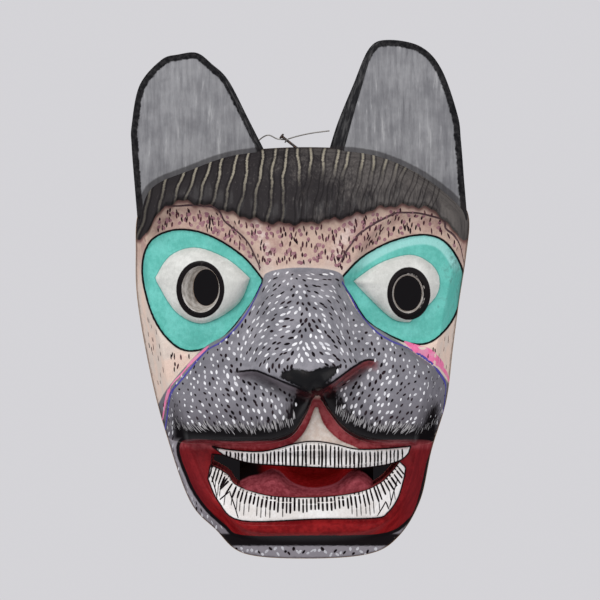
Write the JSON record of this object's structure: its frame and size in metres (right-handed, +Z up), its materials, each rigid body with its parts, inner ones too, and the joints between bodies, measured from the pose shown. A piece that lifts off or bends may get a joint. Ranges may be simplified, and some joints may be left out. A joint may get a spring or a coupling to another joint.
{
  "type": "carved animal mask",
  "caption": "Carved wooden animal face mask with upright ears, bared teeth and see-through eye holes, hollowed behind and hung by a wire.",
  "frame": {"origin": "middle of the crown's flat back rim, where the mask meets the wall", "axes": "+Z up towards the ears, -Y forward out of the face, +X to the viewer's right"},
  "size_m": [0.2081, 0.1158, 0.319],
  "materials": {
    "painted_wood": "brush-painted, satin",
    "painted_ears": "brush-painted, satin, black edges",
    "bare_wood": "bare, tool-marked",
    "iron_nail": "blackened",
    "wire": "dull"
  },
  "bodies": {
    "root": {"head": "painted_wood", "left_ear": "painted_ears", "right_ear": "painted_ears", "left_ear_peg_inner": "bare_wood", "left_ear_peg_outer": "bare_wood", "right_ear_peg_inner": "bare_wood", "right_ear_peg_outer": "bare_wood", "hanger_nail_crown": "iron_nail", "hanger_nail_ear": "iron_nail", "hanger_wire": "wire"}
  },
  "joints": []
}
